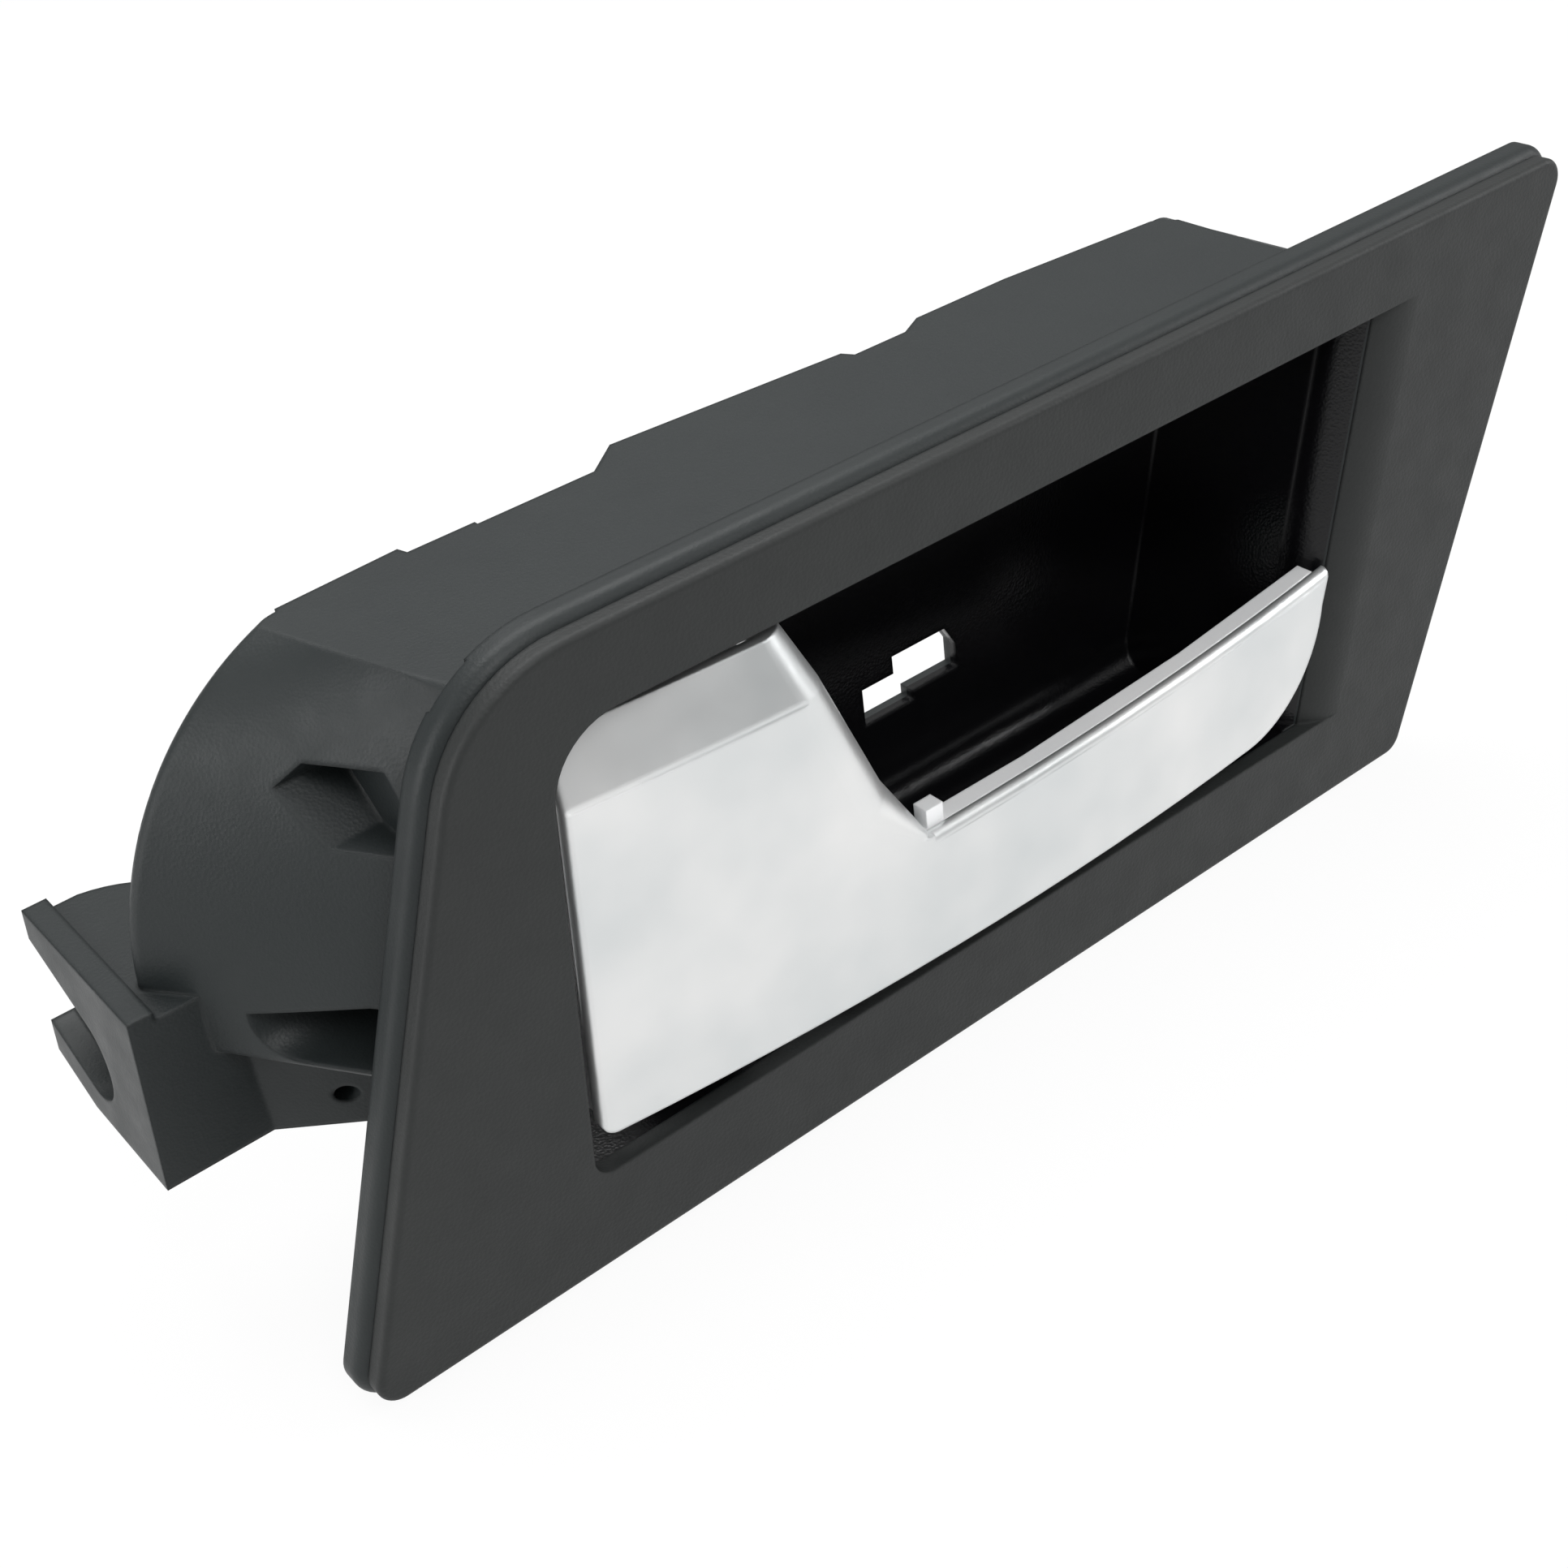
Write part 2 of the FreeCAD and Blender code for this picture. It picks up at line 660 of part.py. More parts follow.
# Opening of the flange, open back of the mechanism chamber and the wall beside it
extrude(housing, "flange_opening", "Pocket", "y", bezel_back - 1, flange_thickness + 1.2,
        [opening_outline(swing_room, -lip_radius, 0.4, floor_drop)])
cut_roll(housing, "housing_roll")
extrude(housing, "chamber_back", "Pocket", "y", recess_depth - floor_fillet, housing_depth, [[
    (opening_left_at(chamber_floor, swing_room), chamber_floor),
    (-partition_left, chamber_floor), (-partition_left, inner_high),
    (opening_left_at(inner_high, swing_room), inner_high)]])


def bow_at(across):
    """Depth of the lever's bowed front at a place along the handle."""
    along = linked(across) + lever_middle
    return front - lever_proud + lever_bow - root(lever_bow * lever_bow - along * along)


bumper_left = -partition_left + wall / 2 - bumper_width / 2
body_front = cover_thickness + body_room
plate_back = body_front + paddle_plate
bumper_front = bow_at(bumper_left) + plate_back + 0.02
partition_edge = bumper_front + bumper_pad
extrude(housing, "partition", "Pad", "z", chamber_floor - 0.5, inner_high - chamber_floor + 1, [[
    (-partition_left, partition_relief), (-partition_left + wall, partition_relief),
    (-partition_left + wall, recess_depth + 1), (-partition_left, recess_depth + 1)]])
extrude(housing, "partition_foot", "Pad", "z", chamber_floor - 0.5,
        partition_step - chamber_floor + 0.5, [[
            (-partition_left, partition_edge), (-partition_left + wall, partition_edge),
            (-partition_left + wall, partition_relief + 1), (-partition_left, partition_relief + 1)]])

# Pin bosses with the pin's bore, and the post that holds the spring's upper leg
pivot_x = -pivot_across
extrude(housing, "upper_boss", "Pad", "z", barrel_top + end_play,
        inner_high - barrel_top - end_play + 0.5, [], [(pivot_x, pivot_depth, upper_boss_radius)])
extrude(housing, "lower_boss", "Pad", "z", chamber_floor - 0.5,
        -chamber_floor + 0.5 - barrel_bottom - end_play, [], [(pivot_x, pivot_depth, boss_radius)])
pin_top = barrel_top + end_play + blind_end
extrude(housing, "pin_bore", "Pocket", "z", housing_floor - 1, pin_top - housing_floor + 1,
        [], [(pivot_x, pivot_depth, pin_radius + pin_press)])
extrude(housing, "pin_head_sink", "Pocket", "z", housing_floor - 1, 1.1 + pin_head_height,
        [], [(pivot_x, pivot_depth, pin_head_radius + 0.2)])
post_left = pivot_x + spring_radius + spring_wire / 2 + 0.05
post_front = pivot_depth + spring_leg / 2
coil_low = barrel_top - bushing_flange - neck_height + spring_wire
coil_high = coil_low + spring_pitch * (spring_turns + 0.25)
extrude(housing, "spring_post", "Pad", "z", coil_high - 2, inner_high - coil_high + 2.5, [[
    (post_left, post_front), (post_left + 3, post_front), (post_left + 3, post_front + 5),
    (post_left, post_front + 5)]])

# Hole for the travel bumper's stem
stem_radius = bumper_stem_radius
extrude(housing, "stem_hole", "Pocket", "x", -partition_left - 1, wall + 2, [],
        [(travel_bumper_depth, -cable_height, stem_radius + 0.05)])

# Slot of the bracket, tilted up towards the back, and its cut rear corners
tilt_across = cosine(slot_tilt)
tilt_up = sine(slot_tilt)
slot_centre_up = -cable_height
slot_reach = bracket_rear - cable_line + 6
upper_start = (cable_line - slot_radius * tilt_up, slot_centre_up + slot_radius * tilt_across)
lower_start = (cable_line + slot_radius * tilt_up, slot_centre_up - slot_radius * tilt_across)
back_cut = bracket_rear + 8
extrude(housing, "cable_slot", "Pocket", "x", left_low - 1, bracket_thickness + bracket_lean + 2, [[
    (upper_start[0], upper_start[1], slot_radius * 1.0001), lower_start,
    (lower_start[0] + slot_reach * tilt_across, lower_start[1] + slot_reach * tilt_up),
    (upper_start[0] + slot_reach * tilt_across, upper_start[1] + slot_reach * tilt_up)]])
extrude(housing, "bracket_heel", "Pocket", "x", left_low - 1, bracket_thickness + bracket_lean + 2, [[
    (bracket_rear - 9.4, -box_bottom - 1), (back_cut, -box_bottom - 1),
    (back_cut, -box_bottom + 5.2), (bracket_rear - 9.4, -box_bottom)]])

# Windows in the left end and the screw hole below them
left_reach = -drum_centre - drum_radius - 2
upper_top = upper_window_base + upper_window_rise
extrude(housing, "upper_window", "Pocket", "x", left_reach, window_depth, [[
    (window_front, upper_window_base), (upper_window_reach * 0.6, upper_window_base + 0.6),
    (upper_window_reach, upper_top - 2.4), (upper_window_reach - 1.8, upper_top),
    (window_front, upper_top)]])
lower_turn = lower_window_reach - lower_window_corner
extrude(housing, "lower_window", "Pocket", "x", left_reach, window_depth + 2.5, [[
    (window_front, -lower_window_base), (lower_turn, -lower_window_base, lower_window_corner),
    (lower_window_reach, -lower_window_base + lower_window_corner),
    (window_front + 3.2, lower_window_top), (window_front, lower_window_top)]])
extrude(housing, "screw_hole", "Pocket", "y", 6, 14, [],
        [(-box_front - 18.7, -box_bottom + 4.3, side_hole_radius)])

# Stepped hole through the back of the recess
first_top = -hole_low + hole_height
second_top = first_top + hole_rise
stepped_hole = [
    (0, -hole_low), (hole_first, -hole_low), (hole_first, -hole_low + hole_step),
    (hole_right, -hole_low + hole_step), (hole_right, second_top - 3), (hole_right - 1.7, second_top),
    (hole_second, second_top), (hole_second, first_top), (0, first_top)]
extrude(housing, "stepped_hole", "Pocket", "y", recess_depth - 1, wall + 4, [stepped_hole])

# Stakes that fix the bezel, and their holes in the flange
stake_high = half_height - stake_top_inset
stake_low = -half_height + stake_inset
stakes = [(stake_pitch * turn - stake_first_top, stake_high) for turn in range(3)]
stakes += [(stake_pitch * turn - stake_first_low, stake_low) for turn in range(3)]
stakes.append((plate_side_at(stake_low + 4, stake_side_inset), stake_low + 4))
for up in (-18, 22):
    stakes.append((plate_length + plate_side_at(up, -stake_side_inset), linked(up)))
extrude(housing, "stake_holes", "Pocket", "y", bezel_back - 1, flange_thickness + 1, [],
        [(across, up, stake_radius + stake_room) for across, up in stakes])
extrude(housing, "stake_sinks", "Pocket", "y", -stake_head_height - stake_room * 2,
        stake_head_height + stake_room * 2, [],
        [(across, up, stake_head_radius + stake_room) for across, up in stakes])

# Bezel
bezel = make_body("bezel")
bezel_corners = slanted(plate_length, plate_height, plate_shift)
extrude(bezel, "bezel_plate", "Pad", "y", front, bezel_thickness, [bezel_corners])
round_plate(bezel, "bezel_corner", bezel_corners, plate_large_corner, plate_small_corner)
dress(bezel, "bezel_edge", "Fillet", bezel_edge_radius,
      lambda point, way, edge: abs(point.y - front.number) < 0.01)
extrude(bezel, "bezel_opening", "Pocket", "y", front - 1, bezel_thickness + 2,
        [opening_outline(0, -lip_radius, 0, 0)])
dress(bezel, "opening_corner_large", "Fillet", opening_large_corner,
      lambda point, way, edge: abs(way.y) > 0.99
      and near(point, opening_left_at(opening_top), opening_top))
dress(bezel, "opening_corner_small", "Fillet", opening_small_corner,
      lambda point, way, edge: abs(way.y) > 0.99
      and near(point, opening_left_at(-opening_bottom), -opening_bottom))
cut_roll(bezel, "bezel_roll")
extrude(bezel, "stake_stems", "Pad", "y", bezel_back - 0.5,
        flange_thickness + 0.5 - stake_head_height, [],
        [(across, up, stake_radius) for across, up in stakes])
extrude(bezel, "stake_heads", "Pad", "y", -stake_head_height, stake_head_height - stake_room, [],
        [(across, up, stake_head_radius) for across, up in stakes])

# Lever: a bowed cover over a moulded body
lever_top = opening_top - lever_top_gap
lever_low = -opening_bottom + lever_bottom_gap
lever_left_low = opening_left_at(lever_low, -lever_gap)
lever_left_high = opening_left_at(lever_top, -lever_gap_high)
bar_left = -paddle_right_bottom
bar_high = -bar_top + bar_rise
paddle_slope = (paddle_right_top - paddle_right_bottom) / (lever_top + bar_top)


def paddle_edge_at(up, inward=0):
    """Place of the paddle's slanted right edge at a height."""
    return -paddle_right_bottom - (linked(up) + bar_top) * paddle_slope - inward


def lever_left_at(up):
    """Place of the lever's left edge at a height."""
    share = (linked(up) - lever_low) / (lever_top - lever_low)
    return lever_left_low + (lever_left_high - lever_left_low) * share


def bar_top_at(across):
    """Height of the bar's slightly rising top edge at a place along the handle."""
    return -bar_top + (linked(across) + paddle_right_bottom) * bar_rise / (bar_tip + paddle_right_bottom)


def bow_section(shift, beyond):
    """Everything between the lever's bowed front, moved back by shift, and a depth."""
    half = linked(70)
    left = -lever_middle - half
    right = -lever_middle + half
    ends = bow_at(left) + shift
    return [(left, ends, lever_bow), (right, ends), (right, beyond), (left, beyond)]


def cut_bow(body, name, shift, beyond):
    """Cut along the bowed front, which falls back above the crease."""
    fall = crease_fall / (lever_top - crease_height) * (40 - crease_height)
    loft(body, name, "SubtractiveLoft", "z", [
        (-40, bow_section(linked(shift), beyond)), (crease_height, bow_section(linked(shift), beyond)),
        (40, bow_section(linked(shift) + fall, beyond + fall))])


cover = make_body("lever_cover")
extrude(cover, "cover_blank", "Pad", "y", -15, 20, [[
    (lever_left_low, lever_low), (bar_tip - bar_end_radius - 1.5, lever_low, bar_end_radius),
    (bar_tip - 1.5, lever_low + 14.2), (bar_tip, bar_high), (bar_left, -bar_top),
    (-paddle_right_top, lever_top), (lever_left_high, lever_top)]])
dress(cover, "cover_corner_large", "Fillet", cover_large_corner,
      lambda point, way, edge: abs(way.y) > 0.99 and near(point, lever_left_high, lever_top))
dress(cover, "cover_corner_small", "Fillet", cover_small_corner,
      lambda point, way, edge: abs(way.y) > 0.99 and near(point, lever_left_low, lever_low))
cut_bow(cover, "cover_back", cover_thickness, 40)
extrude(cover, "paddle_return", "Pad", "y", -9.5, 9.5 + paddle_return_rear, [[
    (paddle_edge_at(-bar_top, paddle_return_width), -bar_top), (bar_left, -bar_top),
    (-paddle_right_top, lever_top), (-paddle_right_top - paddle_return_width, lever_top)]])
cut_bow(cover, "cover_front", 0, -40)


def roll_of_paddle(up, radius, shift):
    """Cutter outline for the roll along the paddle's right edge at a height."""
    edge = paddle_edge_at(up)
    face = bow_at(edge - radius) + shift
    return [(edge - radius, face, radius), (edge, face + radius), (edge + 2, face + radius),
            (edge + 2, face - 4), (edge - radius, face - 4)]


loft(cover, "paddle_roll", "SubtractiveLoft", "z", [
    (-bar_top, roll_of_paddle(-bar_top, paddle_roll * 0.25, linked(0))),
    (-bar_top + 7, roll_of_paddle(-bar_top + 7, paddle_roll, linked(0))),
    (crease_height, roll_of_paddle(crease_height, paddle_roll * 0.8, linked(0))),
    (lever_top + 0.01, roll_of_paddle(lever_top, paddle_roll * 0.6, crease_fall))])

def roll_of_left(up, radius, shift):
    """Cutter outline for the roll along the lever's left edge at a height."""
    edge = lever_left_at(up)
    face = bow_at(edge + radius) + shift
    return [(edge + radius, face, -radius), (edge, face + radius), (edge - 2, face + radius),
            (edge - 2, face - 4), (edge + radius, face - 4)]


loft(cover, "left_roll", "SubtractiveLoft", "z", [
    (lever_low - 0.01, roll_of_left(lever_low, cover_edge_radius, linked(0))),
    (crease_height, roll_of_left(crease_height, cover_edge_radius, linked(0))),
    (lever_top + 0.01, roll_of_left(lever_top, cover_edge_radius, crease_fall))])


def roll_of_bar(across, radius):
    """Cutter outline for the roll along the bar's top edge at a place along the handle."""
    face = bow_at(across)
    high = bar_top_at(across)
    return [(face + radius, high, radius), (face, high - radius), (face - 3, high - radius),
            (face - 3, high + 3), (face + radius, high + 3)]


bar_length = bar_tip + paddle_right_bottom
bar_stations = [bar_left + 0.01 + bar_length * share for share in (0, 0.2, 0.4, 0.6, 0.8, 1)]
loft(cover, "bar_roll", "SubtractiveLoft", "x", [
    (station, roll_of_bar(station, bar_edge_radius)) for station in bar_stations])
extrude(cover, "crease_groove", "Pocket", "z", crease_height - crease_groove_width / 2,
        crease_groove_width, [bow_section(crease_groove_depth, -40)])

screw_places = [(-screw_left, screw_high), (-screw_middle, screw_high), (screw_inner, -screw_low),
                (screw_outer, -screw_low)]
for number, (across, up) in enumerate(screw_places, 1):
    skin = bow_at(across) + cover_thickness
    extrude(cover, f"cover_boss_{number}", "Pad", "y", skin - 0.8, 0.8 + boss_length, [],
            [(across, up, cover_boss_radius)])
    extrude(cover, f"cover_screw_hole_{number}", "Pocket", "y", skin - 0.4, boss_length + 2, [],
            [(across, up, screw_radius)])

lever = make_body("lever_body")
inset = body_inset
extrude(lever, "body_blank", "Pad", "y", -15, 25, [[
    (lever_left_low + inset, lever_low + inset),
    (bar_tip - bar_end_radius - 1.5, lever_low + inset, bar_end_radius - inset),
    (bar_tip - 1.5 - inset, lever_low + 14.2), (bar_tip - inset * 1.6, bar_high - 0.05),
    (bar_left, -bar_top - 0.05),
    (paddle_edge_at(-bar_top, paddle_return_width + body_room), -bar_top - 0.1),
    (-paddle_right_top - paddle_return_width - body_room, lever_top - inset),
    (lever_left_high + inset, lever_top - inset)]])
cut_bow(lever, "body_back", plate_back, 40)
bar_start = -bar_thick_left
extrude(lever, "bar_blank", "Pad", "y", -9, 22, [[
    (bar_start, lever_low + inset),
    (bar_tip - bar_end_radius - 1.5, lever_low + inset, bar_end_radius - inset),
    (bar_tip - 1.5 - inset, lever_low + 14.2), (bar_tip - inset * 1.6, bar_high - 0.05),
    (bar_left, -bar_top - 0.05), (bar_start, -bar_top - 0.15)]])
cut_bow(lever, "bar_back", bar_depth, 40)
skirt_left = inset + 0.3
skirt_right = skirt_left + skirt_width
skirt_high = crease_height - 1.5
extrude(lever, "left_skirt", "Pad", "y", -9, 9 + skirt_rear, [[
    (lever_left_low + skirt_left, lever_low + inset), (lever_left_low + skirt_right, lever_low + inset),
    (lever_left_at(skirt_high) + skirt_right, skirt_high),
    (lever_left_at(skirt_high) + skirt_left, skirt_high)]])
cut_bow(lever, "body_front", body_front, -40)


def slope_of_grip(across):
    """Cutter outline behind the bar's top strip, sloping down into the recess."""
    start = bow_at(across) + body_front + strip_depth
    high = bar_top_at(across)
    return [(start, high), (start + 12, high - grip_slope * 12), (start + 12, high + 2),
            (start, high + 2)]


loft(lever, "bar_slope", "SubtractiveLoft", "x", [
    (across, slope_of_grip(across)) for across in (bar_start - 1, linked(0), linked(28), bar_tip + 1)])
tab_start = bar_left + 0.3
extrude(lever, "corner_tab", "Pad", "y", bow_at(-16) + body_front + 0.1, strip_depth - 0.1, [[
    (tab_start, -bar_top - 3), (tab_start + tab_width, -bar_top - 3),
    (tab_start + tab_width, -bar_top + tab_rise), (tab_start, -bar_top + tab_rise)]])

# Barrel round the pivot, the rib that carries it and the arm that pulls the cable
barrel_shoulder = barrel_top - bushing_flange - neck_height
extrude(lever, "barrel", "Pad", "z", -barrel_bottom + bushing_flange,
        barrel_bottom - bushing_flange + barrel_shoulder, [], [(pivot_x, pivot_depth, barrel_radius)])
extrude(lever, "barrel_neck", "Pad", "z", barrel_shoulder - 1, neck_height + 1, [],
        [(pivot_x, pivot_depth, neck_radius)])
extrude(lever, "barrel_rib", "Pad", "z", -barrel_bottom + bushing_flange,
        barrel_bottom - bushing_flange + barrel_shoulder, [[
            (pivot_x - 3, bow_at(pivot_x) + plate_back - 1), (pivot_x + 3, bow_at(pivot_x) + plate_back - 1),
            (pivot_x + 3, pivot_depth), (pivot_x - 3, pivot_depth)]])
aside = sine(arm_angle)
along = cosine(arm_angle)
half_arm = arm_width / 2


def arm_point(reach, sideways):
    """A place on the arm at rest, from the pivot along the arm and then to its right."""
    return (pivot_x - aside * reach + along * sideways, pivot_depth + along * reach + aside * sideways)


eye = arm_point(arm_length, linked(0))
arm_low = -cable_height - arm_thickness / 2
extrude(lever, "arm", "Pad", "z", arm_low, arm_thickness, [[
    arm_point(linked(1), -half_arm), arm_point(linked(1), half_arm),
    arm_point(arm_length, half_arm), arm_point(arm_length, -half_arm)]])
extrude(lever, "arm_eye", "Pad", "z", arm_low, arm_thickness, [], [(*eye, eye_radius)])
extrude(lever, "eye_hole", "Pocket", "z", arm_low - 1, arm_thickness + 2, [], [(*eye, eye_bush_radius + 0.02)])
extrude(lever, "barrel_bore", "Pocket", "z", -barrel_bottom, barrel_bottom + barrel_top + 1, [],
        [(pivot_x, pivot_depth, pin_radius + 0.6)])
extrude(lever, "lower_seat", "Pocket", "z", -barrel_bottom, bushing_length + 1, [],
        [(pivot_x, pivot_depth, bushing_radius + 0.02)])
extrude(lever, "upper_seat", "Pocket", "z", barrel_top - bushing_flange - bushing_length,
        bushing_length + 2, [], [(pivot_x, pivot_depth, bushing_radius + 0.02)])
for number, (across, up) in enumerate(screw_places, 1):
    skin = bow_at(across) + cover_thickness
    extrude(lever, f"boss_hole_{number}", "Pocket", "y", skin - 1, 1 + boss_length + body_room, [],
            [(across, up, cover_boss_radius + 0.1)])
    extrude(lever, f"shank_hole_{number}", "Pocket", "y", skin, 14, [],
            [(across, up, screw_radius + 0.2)])
    extrude(lever, f"screw_seat_{number}", "Pocket", "y",
            bow_at(across) + (plate_back if across.number < 0 else bar_depth), 4, [],
            [(across, up, screw_head_radius + 0.25)])

# Pin, bushings and the bush of the cable eye
pin = make_body("pivot_pin")
extrude(pin, "pin_shank", "Pad", "z", housing_floor + 0.5, pin_top - 0.8 - housing_floor, [],
        [(pivot_x, pivot_depth, pin_radius)])
extrude(pin, "pin_head", "Pad", "z", housing_floor + 0.05, pin_head_height, [],
        [(pivot_x, pivot_depth, pin_head_radius)])
dress(pin, "pin_nose", "Chamfer", linked(0.6),
      lambda point, way, edge: abs(point.z - pin_top.number + 0.3) < 0.01)


def make_bushing(label, seat_end, direction):
    """A flanged bushing whose flange rests on the end of the barrel."""
    bushing = make_body(label)
    sleeve_start = seat_end - bushing_length if direction > 0 else seat_end
    flange_start = seat_end if direction > 0 else seat_end - bushing_flange
    extrude(bushing, label + "_sleeve", "Pad", "z", sleeve_start, bushing_length, [],
            [(pivot_x, pivot_depth, bushing_radius)])
    extrude(bushing, label + "_flange", "Pad", "z", flange_start, bushing_flange, [],
            [(pivot_x, pivot_depth, neck_radius)])
    extrude(bushing, label + "_bore", "Pocket", "z", seat_end - bushing_length - 2,
            bushing_length * 2 + 4, [], [(pivot_x, pivot_depth, pin_radius + pin_room)])
    return bushing


upper_bushing = make_bushing("upper_bushing", barrel_top - bushing_flange, 1)
lower_bushing = make_bushing("lower_bushing", -barrel_bottom + bushing_flange, -1)

cable_bush = make_body("cable_bush")
extrude(cable_bush, "cable_bush_sleeve", "Pad", "z", arm_low - 0.1, arm_thickness + 0.2, [], [(*eye, eye_bush_radius)])
for name, place in (("upper", arm_low + arm_thickness + 0.05), ("lower", arm_low - eye_bush_flange - 0.05)):
    extrude(cable_bush, f"cable_bush_{name}", "Pad", "z", place, eye_bush_flange, [],
            [(*eye, eye_radius - 0.7)])
extrude(cable_bush, "cable_bush_bore", "Pocket", "z", arm_low - 3, arm_thickness + 6, [], [(*eye, eye_bore)])

# Rubber bumpers for the rest position and for the end of the travel
rest_bumper = make_body("rest_bumper")
grip_end = partition_edge + bumper_grip
extrude(rest_bumper, "rest_pad", "Pad", "z", rest_bumper_low, bumper_height, [[
    (bumper_left, bumper_front), (bumper_left + bumper_width, bumper_front),
    (bumper_left + bumper_width, grip_end), (bumper_left, grip_end)]])
extrude(rest_bumper, "rest_slot", "Pocket", "z", rest_bumper_low - 1, bumper_height + 2, [[
    (-partition_left - bumper_room, partition_edge - bumper_room),
    (-partition_left + wall + bumper_room, partition_edge - bumper_room),
    (-partition_left + wall + bumper_room, grip_end + 1), (-partition_left - bumper_room, grip_end + 1)]])

travel_bumper = make_body("travel_bumper")
stop_depth = travel_bumper_depth + travel_bumper_radius
stop_face = pivot_x + half_arm / along + (stop_depth - pivot_depth) * aside / along + stop_gap
extrude(travel_bumper, "travel_head", "Pad", "x", stop_face,
        -partition_left - bumper_room - stop_face, [],
        [(travel_bumper_depth, -cable_height, travel_bumper_radius)])
extrude(travel_bumper, "travel_stem", "Pad", "x", -partition_left - 1, wall + 2, [],
        [(travel_bumper_depth, -cable_height, stem_radius)])
extrude(travel_bumper, "travel_barb", "Pad", "x", -partition_left + wall + bumper_room, 1.4, [],
        [(travel_bumper_depth, -cable_height, stem_radius + 0.8)])

# Screws that hold the cover to the body
screws = []
for number, (across, up) in enumerate(screw_places, 1):
    screw = make_body(f"cover_screw_{number}")
    seat = bow_at(across) + (plate_back if across.number < 0 else bar_depth)
    extrude(screw, f"screw_{number}_head", "Pad", "y", seat + 0.05, screw_head_height, [],
            [(across, up, screw_head_radius)])
    tip = bow_at(across) + cover_thickness + 0.1
    extrude(screw, f"screw_{number}_shank", "Pad", "y", tip, seat + 0.5 - tip, [],
            [(across, up, screw_radius - 0.02)])
    extrude(screw, f"screw_{number}_drive", "Pocket", "y", seat + screw_head_height - 0.6, 2, [[
        (across - 1.5, up - 0.3), (across + 1.5, up - 0.3), (across + 1.5, up + 0.3),
        (across - 1.5, up + 0.3)]])
    screws.append(screw)

# Return spring: a coil round the barrel's neck with a leg to the lever and a leg to the post
# Each half turn is half a ring in a plane tilted by the pitch, so that the halves join smoothly
about_x = vector(1, 0, 0)
about_y = vector(0, 1, 0)
about_z = vector(0, 0, 1)
tilt = math.degrees(math.atan2(spring_pitch.number / 4, spring_radius.number))
ring_radius = root(spring_radius * spring_radius + spring_pitch * spring_pitch / 16)
half_turns = int(spring_turns.number) * 2
wires = []
for number in range(half_turns + 1):
    side = 1 if number % 2 == 0 else -1
    ring = doc.addObject("Part::Torus", f"half_turn_{number}")
    bind(ring, "Radius1", ring_radius)
    bind(ring, "Radius2", spring_wire / 2)
    ring.Angle3 = 180 if number < half_turns else 90
    ring.Placement = FreeCAD.Placement(vector(0, 0, 0), FreeCAD.Rotation(about_x, tilt * side)
                                       * FreeCAD.Rotation(about_z, -90 * side))
    bind(ring, "Placement.Base.x", pivot_x)
    bind(ring, "Placement.Base.y", pivot_depth)
    bind(ring, "Placement.Base.z", coil_low + spring_pitch * (number + 0.5) / 2)
    wires.append(ring)
for name, across, depth, up, turn, length in (
        ("lower_leg", pivot_x, pivot_depth - spring_radius, coil_low,
         FreeCAD.Rotation(about_y, -90), spring_leg * 0.8),
        ("upper_leg", pivot_x + ring_radius, pivot_depth, coil_high,
         FreeCAD.Rotation(about_x, tilt - 90), spring_leg)):
    leg = doc.addObject("Part::Cylinder", name)
    leg.Placement = FreeCAD.Placement(vector(0, 0, 0), turn)
    bind(leg, "Radius", spring_wire / 2)
    bind(leg, "Height", length)
    bind(leg, "Placement.Base.x", across)
    bind(leg, "Placement.Base.y", depth)
    bind(leg, "Placement.Base.z", up)
    wires.append(leg)
return_spring = doc.addObject("Part::MultiFuse", "return_spring")
return_spring.Shapes = wires
return_spring.Label = "return_spring"
bind(return_spring, "Placement.Base.z", seat_down)

doc.recompute()

pieces = [housing, bezel, cover, lever, pin, upper_bushing, lower_bushing, cable_bush,
          rest_bumper, travel_bumper, return_spring] + screws

# Stop on any failed object, then write each piece to its own file
for item in doc.Objects:
    if "Invalid" in item.State or "Error" in item.State:
        raise ValueError(f"{item.Label} is {item.State}")
os.makedirs("parts", exist_ok=True)
for piece in pieces:
    if piece.Shape.isNull() or not piece.Shape.isValid():
        raise ValueError(f"{piece.Label} has no valid shape")
    print(piece.Label, round(piece.Shape.Volume, 1), len(piece.Shape.Solids))
    piece.Shape.exportStep(f"parts/{piece.Label}.step")
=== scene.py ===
import bpy
from mathutils import Matrix, Vector


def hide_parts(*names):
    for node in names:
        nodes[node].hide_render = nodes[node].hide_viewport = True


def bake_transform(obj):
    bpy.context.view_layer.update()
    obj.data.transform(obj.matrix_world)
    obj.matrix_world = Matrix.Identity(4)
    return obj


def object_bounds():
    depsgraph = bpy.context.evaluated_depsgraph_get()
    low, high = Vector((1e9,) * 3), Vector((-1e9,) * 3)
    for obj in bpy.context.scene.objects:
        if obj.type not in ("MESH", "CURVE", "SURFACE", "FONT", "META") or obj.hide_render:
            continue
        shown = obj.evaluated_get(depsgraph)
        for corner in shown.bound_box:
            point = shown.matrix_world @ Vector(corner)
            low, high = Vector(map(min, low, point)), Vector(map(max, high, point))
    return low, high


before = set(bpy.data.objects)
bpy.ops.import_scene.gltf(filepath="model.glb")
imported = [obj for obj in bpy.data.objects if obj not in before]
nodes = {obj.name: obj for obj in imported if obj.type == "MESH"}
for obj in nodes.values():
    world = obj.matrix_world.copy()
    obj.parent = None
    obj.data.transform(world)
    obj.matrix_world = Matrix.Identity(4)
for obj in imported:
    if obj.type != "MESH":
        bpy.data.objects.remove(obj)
cad_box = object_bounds()
mm = 0.001


# Node trees

